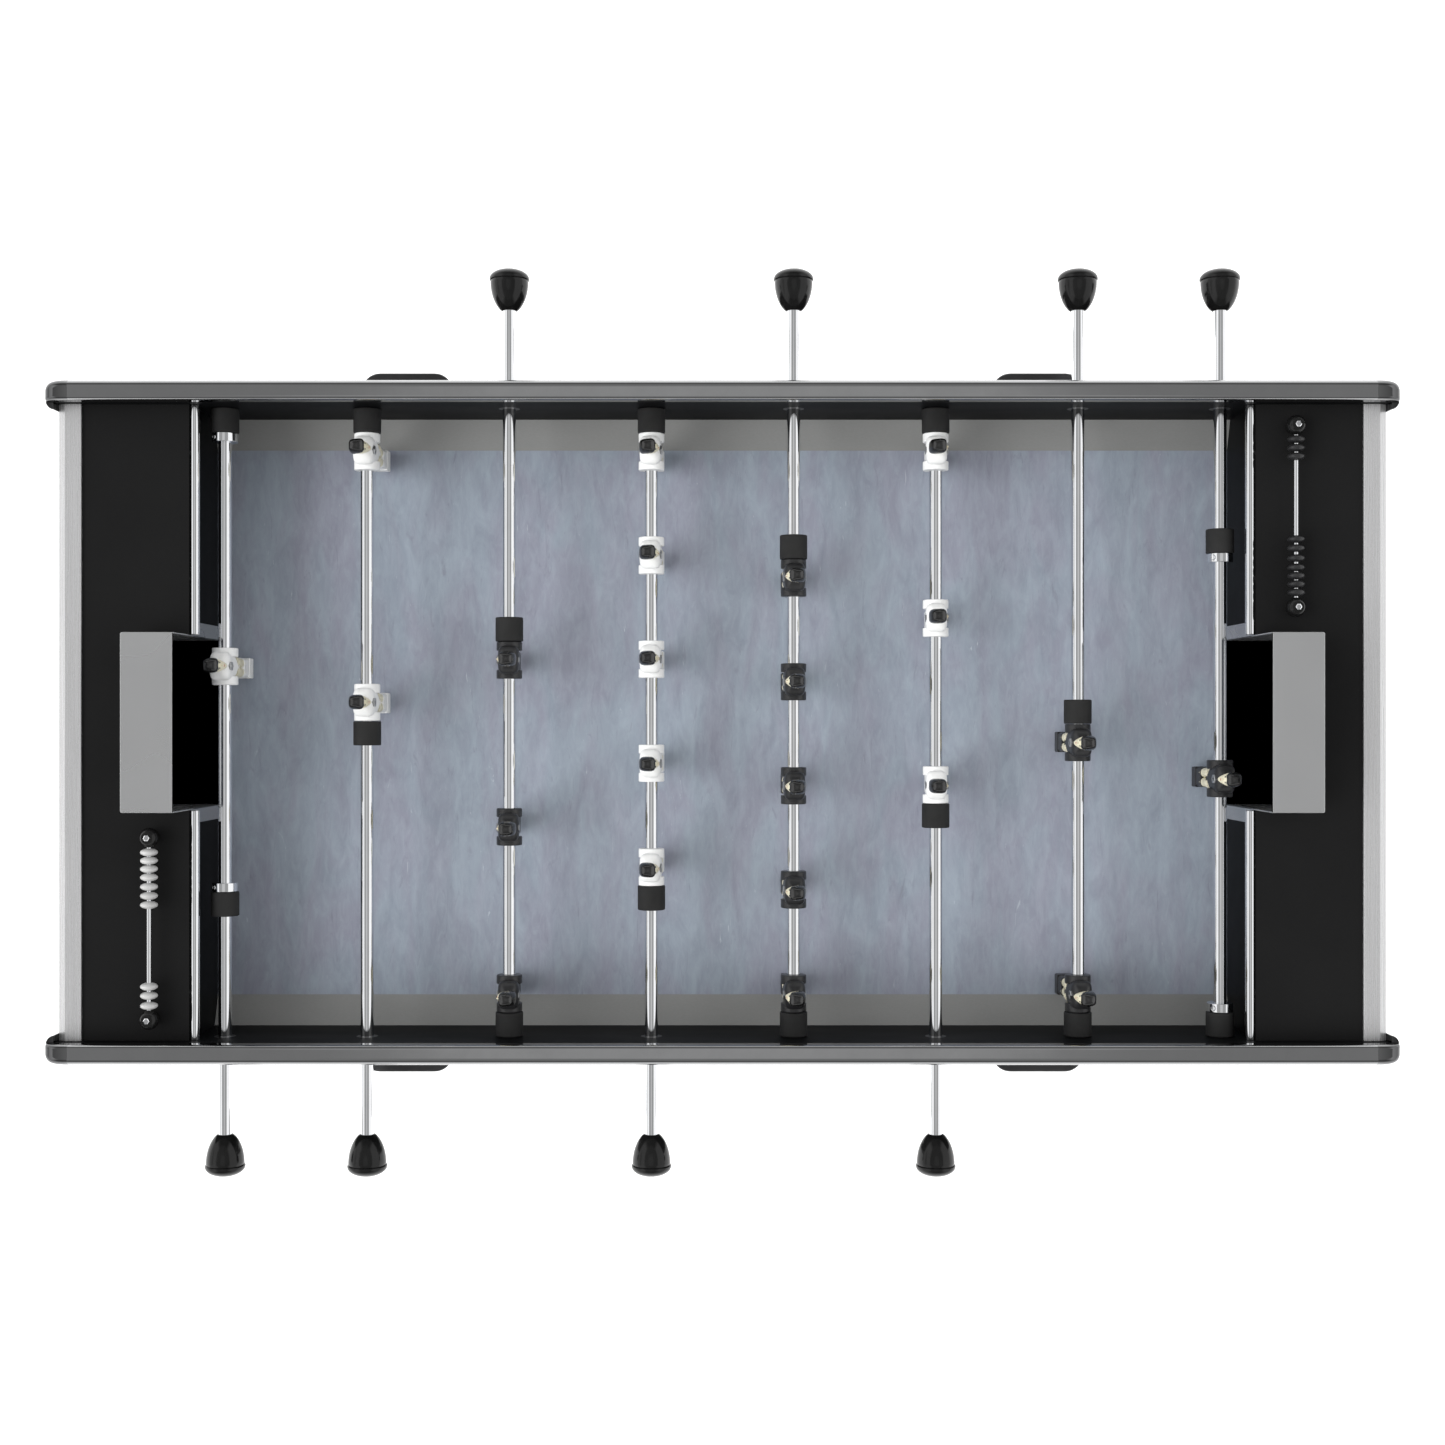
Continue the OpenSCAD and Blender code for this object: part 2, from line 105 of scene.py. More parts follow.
def rounded(corners, radii, steps=4, hold=0.3):
    """Outline with each corner replaced by the arc that touches both its sides. Seen from the arc's
    centre its points are (sin((1 - s) w) a + sin(s w) b) / sin w, with a and b the touching points and
    w the turn. Two points a little outside each arc hold the flat sides flat."""
    p = np.asarray(corners, float)
    r = np.broadcast_to(np.asarray(radii, float), len(p))[:, None]
    back, ahead = np.roll(p, 1, 0) - p, np.roll(p, -1, 0) - p
    back /= np.linalg.norm(back, axis=1)[:, None]
    ahead /= np.linalg.norm(ahead, axis=1)[:, None]
    half = np.arccos(np.clip(np.sum(back * ahead, 1), -1, 0.9999))[:, None] / 2
    half = np.minimum(half, math.pi / 2 - 1e-4)
    touch = r / np.tan(half)
    middle = back + ahead
    middle /= np.maximum(np.linalg.norm(middle, axis=1), 1e-9)[:, None]
    centre = p + middle * r / np.sin(half)
    turn = math.pi - 2 * half
    s = np.linspace(0, 1, steps + 1)[None, :, None]
    first, last = p + back * touch - centre, p + ahead * touch - centre
    arc = np.sin((1 - s) * turn[:, None]) * first[:, None] + np.sin(s * turn[:, None]) * last[:, None]
    arc = centre[:, None] + arc / np.sin(turn[:, None])
    extra = touch + hold * (r > 0)
    before, after = (p + back * extra)[:, None], (p + ahead * extra)[:, None]
    return distinct(np.concatenate([before, arc, after], 1).reshape(-1, 2))


def inset(outline, distance):
    """Moves the sides of an anticlockwise outline inwards: each point goes by 2 (m + n) / |m + n|^2
    times the distance, where m and n are the inward normals of its two sides."""
    side = np.roll(outline, -1, 0) - outline
    normal = np.stack([-side[:, 1], side[:, 0]], 1)
    normal /= np.linalg.norm(normal, axis=1)[:, None]
    both = normal + np.roll(normal, 1, 0)
    return outline + both * (2 * distance / np.sum(both * both, 1))[:, None]


def anticlockwise(outline):
    """The outline, turned round if its enclosed area is negative."""
    x, y = np.asarray(outline, float).T
    return outline if np.sum(x * np.roll(y, -1) - y * np.roll(x, -1)) > 0 else outline[::-1]


def revolve(profile, centre, axis="y", around=48, loop=False, turn=0.0):
    """Profile of (along, radius) pairs carried round an axis: the point at angle t is the centre, plus
    along on the axis, plus radius (cos t, sin t) on the other two axes."""
    along, radius = np.asarray(profile, float).T[:, :, None]
    t = np.arange(around) * 2 * math.pi / around + turn
    grid = np.zeros((len(along), around, 3))
    w, u, v = AXES[axis]
    grid[..., w] = along
    grid[..., u] = radius * np.cos(t)
    grid[..., v] = radius * np.sin(t)
    return skin(grid + np.asarray(centre, float), loop)


def prism(outline, axis, start, end, edge=0.5, steps=3):
    """Outline carried along an axis. At each end, for a from 0 to 90 degrees, the ring lies
    edge (1 - cos a) from the end and is inset by edge (1 - sin a), which rounds the end's rim."""
    outline = anticlockwise(np.asarray(outline, float))
    a = np.linspace(0, math.pi / 2, steps + 1)
    depth = np.concatenate([[0], edge * (1 - np.cos(a)), [edge + 0.3]])
    shrink = np.concatenate([[edge + 0.3], edge * (1 - np.sin(a)), [0]])
    along = np.concatenate([start + depth, (end - depth)[::-1]])
    rings = np.stack([inset(outline, d) for d in np.concatenate([shrink, shrink[::-1]])])
    grid = np.zeros((len(along), len(outline), 3))
    w, u, v = AXES[axis]
    grid[..., w] = along[:, None]
    grid[..., u], grid[..., v] = rings[..., 0], rings[..., 1]
    return skin(grid)


def loft(rows, around=28, power=2.5):
    """Upright body through rows of (height, back, front, half width): at angle t the point is
    (front or back times |cos t|^(2/p), half width times |sin t|^(2/p)), a superellipse of power p. Rows
    between the given ones follow a smooth curve through them."""
    rows = np.asarray(rows, float)
    given = np.arange(len(rows))
    fine = np.linspace(0, len(rows) - 1, 3 * (len(rows) - 1) + 1)
    slope = np.gradient(rows, axis=0)
    k = np.minimum(fine.astype(int), len(rows) - 2)
    s = (fine - given[k])[:, None]
    a, b = rows[k], rows[k + 1]
    low, high = np.minimum(a, b), np.maximum(a, b)
    rows = a * (1 + 2 * s) * (1 - s) ** 2 + slope[k] * s * (1 - s) ** 2
    rows += b * (3 - 2 * s) * s**2 + slope[k + 1] * (s - 1) * s**2
    rows = np.clip(rows, low, high)
    t = np.arange(around) * 2 * math.pi / around
    c, d = np.cos(t), np.sin(t)
    height, back, front, half = rows.T[:, :, None]
    x = np.where(c > 0, front, -back) * np.sign(c) * np.abs(c) ** (2 / power)
    y = half * np.sign(d) * np.abs(d) ** (2 / power)
    return skin(np.stack([x, y, np.broadcast_to(height, x.shape)], -1))


def egg(centre, radii, around=12, rings=7):
    """Ellipsoid: centre plus radii times (sin a cos t, sin a sin t, cos a)."""
    a = np.linspace(0, math.pi, rings)[:, None]
    t = np.arange(around) * 2 * math.pi / around
    unit = np.stack(np.broadcast_arrays(np.sin(a) * np.cos(t), np.sin(a) * np.sin(t), np.cos(a)), -1)
    return skin(unit * np.asarray(radii, float) + np.asarray(centre, float))


def moved(shape, change):
    """The shape with its points changed, and its faces turned outwards again."""
    points = change(shape[0])
    return points, outward(points, shape[1])


def mirrored(shape, *signs):
    """The shape with each coordinate multiplied by its sign."""
    return moved(shape, lambda p: p * np.array(signs, float))


def both_ends(shape):
    """The shape at the +x end of the table, and its mirror image at the -x end."""
    return [shape, mirrored(shape, -1, 1, 1)]


def four_corners(shape):
    """The shape at the corner with positive x and y, and its mirror images at the other three."""
    return [mirrored(shape, i, j, 1) for i in (1, -1) for j in (1, -1)]


# Finishes

class Value:
    """A socket in a finish. Arithmetic on it adds the Math nodes that work it out."""

    def __init__(self, finish, socket):
        self.finish, self.socket = finish, socket

    def __add__(self, other):
        return self.finish.maths("ADD", self, other)

    def __radd__(self, other):
        return self.finish.maths("ADD", other, self)

    def __sub__(self, other):
        return self.finish.maths("SUBTRACT", self, other)

    def __rsub__(self, other):
        return self.finish.maths("SUBTRACT", other, self)

    def __mul__(self, other):
        return self.finish.maths("MULTIPLY", self, other)

    def __rmul__(self, other):
        return self.finish.maths("MULTIPLY", other, self)

    def __pow__(self, other):
        return self.finish.maths("POWER", self, other)


class Nodes:
    """A node tree, and short ways to add nodes to it."""

    def __init__(self, tree):
        self.tree = tree

    def node(self, kind, settings=(), inputs=(), output=0):
        """Adds a node, sets its settings first and then its sockets, and returns an output."""
        node = self.tree.nodes.new(kind)
        for key, value in dict(settings).items():
            setattr(node, key, value)
        for key, value in dict(inputs).items():
            if isinstance(value, Value):
                self.tree.links.new(value.socket, node.inputs[key])
            else:
                node.inputs[key].default_value = value
        return Value(self, node.outputs[output])

    def maths(self, operation, *values):
        return self.node("ShaderNodeMath", {"operation": operation}, enumerate(values))

    def spread(self, value, low, high, to_low=0.0, to_high=1.0):
        """Maps low..high to to_low..to_high and holds the ends."""
        return self.node("ShaderNodeMapRange", inputs={
            "Value": value, "From Min": low, "From Max": high, "To Min": to_low, "To Max": to_high})


class Finish(Nodes):
    """A material: its Principled shader and the patterns that feed it."""

    def __init__(self, name, **constants):
        self.material = bpy.data.materials.new(name)
        self.material.use_nodes = True
        super().__init__(self.material.node_tree)
        self.shader = self.tree.nodes["Principled BSDF"]
        for key, value in constants.items():
            self.shader.inputs[key.replace("_", " ")].default_value = value

    def place(self, stretch=(1, 1, 1), turn=0.0):
        """Object coordinates, stretched by a Mapping node; small numbers make long patterns."""
        where = self.node("ShaderNodeTexCoord", output="Object")
        return self.node("ShaderNodeMapping", inputs={
            "Vector": where, "Scale": stretch, "Rotation": (0, 0, turn)})

    def noise(self, where, scale, detail=3.0, roughness=0.5, distortion=0.0):
        return self.node("ShaderNodeTexNoise", inputs={
            "Vector": where, "Scale": scale, "Detail": detail, "Roughness": roughness,
            "Distortion": distortion})

    def blend(self, factor, first, second):
        colours = {0: factor, 6: first, 7: second}
        for key in (6, 7):
            if not isinstance(colours[key], Value):
                colours[key] = (*colours[key], 1)
        return self.node("ShaderNodeMix", {"data_type": "RGBA"}, colours, output=2)

    def bump(self, height, distance, strength=1.0, normal=None):
        inputs = {"Height": height, "Distance": distance * MM, "Strength": strength}
        if normal is not None:
            inputs["Normal"] = normal
        return self.node("ShaderNodeBump", inputs=inputs)

    def feed(self, **values):
        for key, value in values.items():
            self.tree.links.new(value.socket, self.shader.inputs[key.replace("_", " ")])
        return self


def gloss_laminate():
    """Black laminate: satin sheen with a faint ripple and wiped haze."""
    f = Finish("black_laminate", Specular_IOR_Level=0.05)
    haze = f.noise(f.place((1, 1, 2.5)), 6, 4)
    peel = f.noise(f.place(), 420, 2)
    f.feed(
        Base_Color=f.blend(f.spread(haze, 0.35, 0.7), (0.0035, 0.0037, 0.0041), (0.006, 0.0063, 0.0068)),
        Roughness=f.spread(haze, 0.3, 0.7, 0.44, 0.54),
        Normal=f.bump(peel, 0.02, 0.4))
    return f


def deck_laminate():
    """Matt black board top with a fine speckled grain."""
    f = Finish("deck_laminate", Specular_IOR_Level=0.06)
    grain = f.noise(f.place(), 900, 2, 0.7)
    cloud = f.noise(f.place(), 9, 3)
    shade = f.spread(grain, 0.3, 0.75) * 0.6 + f.spread(cloud, 0.3, 0.7) * 0.4
    f.feed(
        Base_Color=f.blend(shade, (0.0085, 0.0085, 0.0088), (0.0125, 0.0125, 0.0125)),
        Roughness=f.spread(cloud, 0.3, 0.7, 0.5, 0.62),
        Normal=f.bump(grain, 0.05, 0.35))
    return f


def marbled_sheet():
    """Blue-grey marbled field: long streaks across the table in cool and purplish greys, with
    a few pale flecks and dark short dashes."""
    f = Finish("marbled_sheet", Specular_IOR_Level=0.3)
    wide = f.noise(f.place((1, 0.34, 1)), 40, 6, 0.62, 0.9)
    fine = f.noise(f.place((1, 0.3, 1), 0.05), 150, 5, 0.65, 0.8)
    hue = f.noise(f.place((1, 0.3, 1)), 22, 3, 0.5, 0.8)
    fleck = f.noise(f.place((1, 0.2, 1), -0.12), 90, 6, 0.7, 1.6)
    dash = f.noise(f.place((1, 0.18, 1), 0.14), 100, 5, 0.68, 1.4)
    cool = f.blend(f.spread(wide, 0.3, 0.72), (0.238, 0.273, 0.328), (0.318, 0.364, 0.425))
    plum = f.blend(f.spread(wide, 0.3, 0.72), (0.234, 0.244, 0.302), (0.302, 0.318, 0.384))
    colour = f.blend(f.spread(hue, 0.38, 0.62), cool, plum)
    colour = f.blend(f.spread(fine, 0.42, 0.75, 0, 0.32), colour, (0.39, 0.445, 0.505))
    colour = f.blend(f.spread(dash, 0.6, 0.72, 0, 0.5), colour, (0.19, 0.19, 0.237))
    colour = f.blend(f.spread(fleck, 0.665, 0.74, 0, 0.75), colour, (0.55, 0.6, 0.655))
    f.feed(
        Base_Color=colour,
        Roughness=f.spread(fine, 0.3, 0.7, 0.38, 0.5),
        Normal=f.bump(fine, 0.02, 0.3))
    return f


def grey_strip():
    """Sloped side strips: warm grey plastic with a sanded grain."""
    f = Finish("grey_strip", Specular_IOR_Level=0.3)
    grain = f.noise(f.place((0.4, 1, 1)), 700, 3, 0.7)
    cloud = f.noise(f.place((0.4, 1, 1)), 14, 3)
    shade = f.spread(grain, 0.25, 0.75) * 0.5 + f.spread(cloud, 0.3, 0.7) * 0.5
    f.feed(
        Base_Color=f.blend(shade, (0.215, 0.217, 0.212), (0.258, 0.26, 0.255)),
        Roughness=f.spread(cloud, 0.3, 0.7, 0.42, 0.55),
        Normal=f.bump(grain, 0.04, 0.3))
    return f


def raw_board():
    """Black-faced board of the hidden lower cabinet, with a long soft grain."""
    f = Finish("black_board", Specular_IOR_Level=0.3)
    grain = f.noise(f.place((0.12, 1, 1)), 160, 4, 0.6)
    f.feed(
        Base_Color=f.blend(f.spread(grain, 0.3, 0.7), (0.0085, 0.0085, 0.009), (0.016, 0.016, 0.016)),
        Roughness=f.spread(grain, 0.3, 0.7, 0.5, 0.65),
        Normal=f.bump(grain, 0.05, 0.4))
    return f


def polished(name, colour, rough=(0.05, 0.1), stretch=(0.05, 1, 1), ripple=0.4, lines=500):
    """Polished metal: faint drawing lines along the bar, and smudges that dull it a little."""
    f = Finish(name, Metallic=1.0)
    drawn = f.noise(f.place(stretch), lines, 3, 0.6)
    smudge = f.noise(f.place(), 24, 4, 0.6)
    dark = tuple(c * 0.94 for c in colour)
    f.feed(
        Base_Color=f.blend(f.spread(smudge, 0.35, 0.7), colour, dark),
        Roughness=f.spread(smudge, 0.35, 0.75, rough[0], rough[1]) + f.spread(drawn, 0.3, 0.7, 0, 0.02),
        Normal=f.bump(drawn, 0.002, ripple))
    return f


def cast_caps_painted_shade():
    """Polished castings whose base colour is painted darker towards the table's ends: painted shade
    standing in for the dark reflection on their curved noses.
    """
    f = Finish("polished_caps_painted_shade", Metallic=1.0)
    along = f.node("ShaderNodeSeparateXYZ", inputs={0: f.place()}, output=0)
    smudge = f.noise(f.place(), 24, 4, 0.6)
    f.feed(
        # painted shade: light colour near the joint, dark colour on the nose, in place of the nose's dark
        # reflection
        Base_Color=f.blend(f.spread(f.maths("ABSOLUTE", along), 0.717, 0.743), (0.27, 0.272, 0.275),
                           (0.07, 0.071, 0.073)),
        Roughness=f.spread(smudge, 0.35, 0.75, 0.07, 0.11))
    return f


def brushed(name, colour, rough, stretch, depth=0.01, lines=700, metallic=1.0):
    """Satin metal: brush lines that change its tone, its sheen and its surface."""
    f = Finish(name, Metallic=metallic)
    line = f.noise(f.place(stretch), lines, 4, 0.7)
    band = f.noise(f.place(stretch), lines / 7, 2)
    tone = f.spread(line, 0.3, 0.7) * 0.6 + f.spread(band, 0.3, 0.7) * 0.4
    light = tuple(c * 1.1 for c in colour)
    f.feed(
        Base_Color=f.blend(tone, colour, light),
        Roughness=f.spread(line, 0.3, 0.7, rough - 0.05, rough + 0.06),
        Normal=f.bump(line, depth, 0.5))
    return f


def rolled_sheet():
    """Bare sheet metal of the goal hoods: even grey with a fine cloudy grain."""
    f = Finish("hood_sheet", Metallic=0.85)
    grain = f.noise(f.place(), 800, 3, 0.75)
    cloud = f.noise(f.place(), 12, 1, 0.4)
    tone = f.spread(grain, 0.3, 0.7) * 0.4 + f.spread(cloud, 0.3, 0.7) * 0.6
    f.feed(
        Base_Color=f.blend(tone, (0.54, 0.545, 0.55), (0.58, 0.585, 0.59)),
        Roughness=f.spread(cloud, 0.3, 0.7, 0.26, 0.28),
        Normal=f.bump(grain, 0.006, 0.4))
    return f


def moulded(name, dark, light, rough, specular=0.5, grain_size=600, depth=0.02, coat=0.0):
    """Moulded plastic or rubber: slight cloud in its colour and sheen, and a fine moulded grain."""
    f = Finish(name, Specular_IOR_Level=specular, Coat_Weight=coat, Coat_Roughness=0.05)
    cloud = f.noise(f.place(), 45, 4, 0.6)
    grain = f.noise(f.place(), grain_size, 3, 0.6)
    f.feed(
        Base_Color=f.blend(f.spread(cloud, 0.3, 0.7), dark, light),
        Roughness=f.spread(cloud, 0.3, 0.7, rough - 0.04, rough + 0.05),
        Normal=f.bump(grain, depth, 0.4))
    return f


LAMINATE = gloss_laminate()
DECK = deck_laminate()
FIELD = marbled_sheet()
STRIP = grey_strip()
BOARD = raw_board()
RAIL = polished("polished_rail", (0.4, 0.403, 0.408), (0.07, 0.11))
CAP = cast_caps_painted_shade()
PROFILE = brushed("satin_profile", (0.58, 0.58, 0.585), 0.27, (1, 0.015, 1), metallic=0.6)
CHROME = polished("chrome", (0.86, 0.87, 0.885), (0.03, 0.06), (1, 0.03, 1), 0.3, 300)
STEEL = brushed("satin_steel", (0.5, 0.51, 0.52), 0.3, (1, 0.05, 1), 0.005)
HOOD = rolled_sheet()
CHUTE = moulded("chute_plastic", (0.02, 0.02, 0.02), (0.035, 0.035, 0.035), 0.4, 0.35)
LEG = moulded("leg_powder_coat", (0.016, 0.016, 0.017), (0.026, 0.026, 0.027), 0.42, 0.45, 1100, 0.06)
ZINC = brushed("zinc", (0.45, 0.46, 0.47), 0.36, (1, 1, 1), 0.01, 300)
BUSH = moulded("bush_plastic", (0.012, 0.012, 0.013), (0.02, 0.02, 0.021), 0.4)
BALL_GRIP = moulded("gloss_black", (0.005, 0.005, 0.005), (0.009, 0.009, 0.009), 0.14, 0.3, 300, 0.01)
RUBBER = moulded("rubber", (0.014, 0.014, 0.014), (0.021, 0.021, 0.021), 0.68, 0.3, 900, 0.05)
WHITE = moulded("white_plastic", (0.74, 0.745, 0.74), (0.82, 0.825, 0.82), 0.38, 0.45)
BEAD_WHITE = moulded("white_bead", (0.46, 0.46, 0.455), (0.54, 0.54, 0.535), 0.3, 0.5)
BLACK = moulded("black_plastic", (0.012, 0.012, 0.013), (0.022, 0.022, 0.023), 0.33, 0.5)
SKIN = moulded("figure_skin", (0.66, 0.62, 0.46), (0.74, 0.7, 0.54), 0.45, 0.4)
HAIR = moulded("figure_hair", (0.006, 0.006, 0.006), (0.01, 0.01, 0.01), 0.2, 0.8)
EYE = moulded("figure_eye_paint", (0.02, 0.022, 0.026), (0.04, 0.042, 0.048), 0.35)
LIP = moulded("figure_lip_paint", (0.42, 0.16, 0.13), (0.5, 0.2, 0.16), 0.4)


def piece(name, shapes, finishes, body, nodes, sharp=32):
    """Makes one mesh of the shapes, rides it on its body and puts it in the place of CAD nodes. A shape
    may carry the number of its finish as a third value."""
    starts = np.cumsum([0] + [len(s[0]) for s in shapes])
    corners = [(f + start, s[2] if len(s) > 2 else 0)
               for s, start in zip(shapes, starts) for f in s[1]]
    sizes = np.concatenate([np.full(len(f), f.shape[1]) for f, _ in corners])
    finish_of = np.concatenate([np.full(len(f), k) for f, k in corners])
    points = np.concatenate([s[0] for s in shapes]) * MM
    mesh = bpy.data.meshes.new(name)
    mesh.vertices.add(len(points))
    mesh.vertices.foreach_set("co", points.astype(np.float32).ravel())
    mesh.loops.add(int(sizes.sum()))
    mesh.loops.foreach_set("vertex_index", np.concatenate([f.ravel() for f, _ in corners]).astype(np.int32))
    mesh.polygons.add(len(sizes))
    mesh.polygons.foreach_set("loop_start", np.concatenate([[0], np.cumsum(sizes)[:-1]]).astype(np.int32))
    mesh.polygons.foreach_set("material_index", finish_of.astype(np.int32))
    mesh.update(calc_edges=True)
    mesh.validate()
    work = bmesh.new()
    work.from_mesh(mesh)
    bmesh.ops.remove_doubles(work, verts=work.verts, dist=2e-6)
    bmesh.ops.dissolve_degenerate(work, edges=work.edges, dist=1e-7)
    work.to_mesh(mesh)
    work.free()
    mesh.shade_smooth()
    mesh.set_sharp_from_angle(angle=math.radians(sharp))
    for finish in finishes:
        mesh.materials.append(finish.material)
    made = bpy.data.objects.new(name, mesh)
    bpy.context.scene.collection.objects.link(made)
    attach(made, body)
    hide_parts(*nodes)
    return made


def keep(node, finish):
    """Gives a CAD node its finish."""
    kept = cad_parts[node]
    for slot in kept.material_slots:
        slot.material = finish.material
    if not kept.material_slots:
        kept.data.materials.append(finish.material)


# Cabinet

for board in ("side_panel_front", "side_panel_back", "goal_walls", "end_boards"):
    keep(board, LAMINATE)
keep("decks", DECK)
keep("base_board", BOARD)
keep("playfield", FIELD)
keep("side_ramps", STRIP)
keep("ball_chutes", CHUTE)
keep("inner_rods", STEEL)


RAIL_OUTER_R = 8.0
RAIL_INNER_R = 4.5


def top_rails():
    """Rail section with two rounded top edges, carried along the table, once on each side."""
    low, high = box("top_rails")
    section = rounded([(WALL, low[2]), (high[1], low[2]), (high[1], high[2]), (WALL, high[2])],
                      [0.3, 0.3, RAIL_OUTER_R, RAIL_INNER_R], 10)
    rail = prism(section, "x", low[0], high[0], 0.15, 1)
    piece("top_rails_polished", [rail, mirrored(rail, 1, -1, 1)], [RAIL], "table", ["top_rails"])


def cap_part(x, low, high, foot, top, edge):
    """Part of a corner cap along the table: at each x a rectangle from (low, foot) to (high, top), with
    its upper edges rounded, keeps its corners' height while its width and its height change."""
    wide, tall = 20.0, 14.0
    outline = rounded([(0, 0), (wide, 0), (wide, tall), (0, tall)], [0.4, 0.4, edge[1], edge[0]], 10)
    across, up = outline.T
    x, low, high, foot, top = (v[:, None] for v in np.broadcast_arrays(x, low, high, foot, top))
    short = np.minimum(1, (top - foot) / tall)
    y = low + (high - low) * across / wide
    z = np.where(up > 3, top - (tall - up) * short, foot + up * short)
    return skin(np.stack([np.broadcast_to(x, y.shape), y, z], -1))


def rail_caps():
    """Corner castings. With t going from 0 at the joint to 1 at the table's end, the top falls along
    the full curve r (1 - (1 - t^4)^(1/4)) and the outer side turns in by 12 (1 - (1 - t^2.6)^(1/2.6)).
    Beyond the board's end they reach lower and further in, with a rounded inner corner."""
    low, high = box("rail_end_caps")
    joint = box("top_rails")[1][0]
    base = box("top_rails")[0][2]
    r = high[0] - joint
    reach = (TABLE_END - joint) / r

    def top(t):
        return high[2] - r * (1 - np.maximum(1 - t**4, 0) ** 0.25)

    def corner(t):
        turn = np.clip((t - reach) / (1 - reach), 0, 1)
        return WALL - 8 + 9.5 * (1 - np.sqrt(1 - turn**2))

    curve = np.sin(np.linspace(0, math.pi / 2, 26)) ** 0.7
    t = np.sort(np.append(curve, [reach] * 2))
    foot = np.where(np.arange(len(t)) > np.argmin(np.abs(t - reach)), low[2], base)
    side = high[1] - 12 * (1 - np.maximum(1 - t**2.6, 0) ** (1 / 2.6))
    edges = (RAIL_INNER_R, RAIL_OUTER_R)
    cap = cap_part(joint + r * t, np.maximum(WALL, corner(t)), side, foot, top(t), edges)
    t = np.append(reach, curve[curve > reach])
    apron_top = np.minimum(top(t), base)
    apron = cap_part(joint + r * t, corner(t), WALL + 4, low[2], apron_top, (1.5, 0.4))
    piece("rail_corner_caps", four_corners(cap) + four_corners(apron), [CAP], "table",
          ["rail_end_caps"], 40)


def end_profiles():
    """Extruded section with a bevelled outer edge and eased corners."""
    low, high = box("end_profiles")
    wide, bevel_wide, bevel_tall = 26, 8, 4
    start = high[0] - wide
    section = rounded(
        [(start, low[2]), (high[0], low[2]), (high[0], high[2] - bevel_tall),
         (high[0] - bevel_wide, high[2]), (start, high[2])],
        [0.3, 0.3, 0.8, 0.8, 0.8], 4)
    bar = prism(section, "y", low[1], high[1], 0.1, 1)
    piece("end_profiles_satin", both_ends(bar), [PROFILE], "table", ["end_profiles"])


def wall_bars():
    """Round bars along the decks' inner edges, each on two pins that go into the end wall."""
    low, high = box("wall_bars")
    r = (high[2] - low[2]) / 2
    deck_long, gap, hood_side = 119, 0.05, 97.6
    x, z = box("decks")[1][0] - deck_long - r - gap, (high[2] + low[2]) / 2
    y1, y2 = hood_side, high[1]
    outline = rounded([(y1, 0), (y1, r), (y2, r), (y2, 0)], [0, 0.8, 0.4, 0], 3)
    bar = revolve(outline, (x, 0, z), "y", 40)
    pins = [revolve([(0, 0), (0, 2.5), (15, 2.5), (15, 0)], (x, y, z), "x", 20) for y in (160, 300)]
    shapes = [made for part in [bar, *pins] for made in four_corners(part)]
    piece("wall_bars_chrome", shapes, [CHROME], "table", ["wall_bars"])


def goal_hoods():
    """Folded sheet: two sides and a back bent from one strip, a top plate, and flanges on the wall."""
    low, high = box("goal_hoods")
    t, deep, side, flange_top = 1.5, 57.5, 97.3, 862.5
    front, back = high[0] - deep, high[0]
    strip = rounded(
        [(front, -side), (back, -side), (back, side), (front, side), (front, side - t),
         (back - t, side - t), (back - t, -side + t), (front, -side + t)],
        [0.5, 2.2, 2.2, 0.5, 0.5, 0.7, 0.7, 0.5], 4, 0.2)
    walls = prism(strip, "z", low[2], high[2] - 0.6, 0.3, 2)
    top = prism(rounded([(front + 1.5, -side), (back, -side), (back, side), (front + 1.5, side)],
                        [0.6, 2.2, 2.2, 0.6], 4), "z", high[2] - t, high[2], 0.6, 4)
    flange = rounded([(side - t, low[2]), (high[1], low[2]), (high[1], flange_top), (side - t, flange_top)],
                     [0.2, 2.5, 2.5, 0.2], 4)
    flange = prism(flange, "x", front, front + t, 0.3, 2)
    parts = [walls, top, flange, mirrored(flange, 1, -1, 1)]
    piece("goal_hoods_sheet", [made for part in parts for made in both_ends(part)], [HOOD], "table",
          ["goal_hoods"])


LEG_WIDE = 105
LEG_DEEP = 92
LEG_CORNER = 21.5


def legs():
    """Square leg with rounded corners, whose outer part goes on as a flat tongue outside the side panel,
    all one skin of (outline, inset, height) rings: the eased foot, the step under the cabinet, and the
    tongue's rounded top."""
    low, high = box("legs")
    base = box("base_board")[0][2]
    x1, x2 = high[0] - LEG_WIDE, high[0]
    y1, y2 = high[1] - LEG_DEEP, high[1]
    post = rounded([(x1, y1), (x2, y1), (x2, y2), (x1, y2)], LEG_CORNER, 10)
    tongue = rounded([(x1, WALL_OUTSIDE), (x2, WALL_OUTSIDE), (x2, y2), (x1, y2)],
                     [0.5, 0.5, LEG_CORNER, LEG_CORNER], 10)
    a = np.linspace(0, math.pi / 2, 6)
    foot, rim = 2.5, 3.0
    rings = [(post, foot * (1 - s), low[2] + foot * (1 - c)) for s, c in zip(np.sin(a), np.cos(a))]
    rings += [(post, 0, base), (tongue, 0, base)]
    rings += [(tongue, rim * (1 - c), high[2] - rim * (1 - s)) for s, c in zip(np.sin(a), np.cos(a))]
    leg = skin(np.stack([np.column_stack([inset(o, d), np.full(len(o), z)]) for o, d, z in rings]))
    piece("legs_coated", four_corners(leg), [LEG], "table", ["legs"])


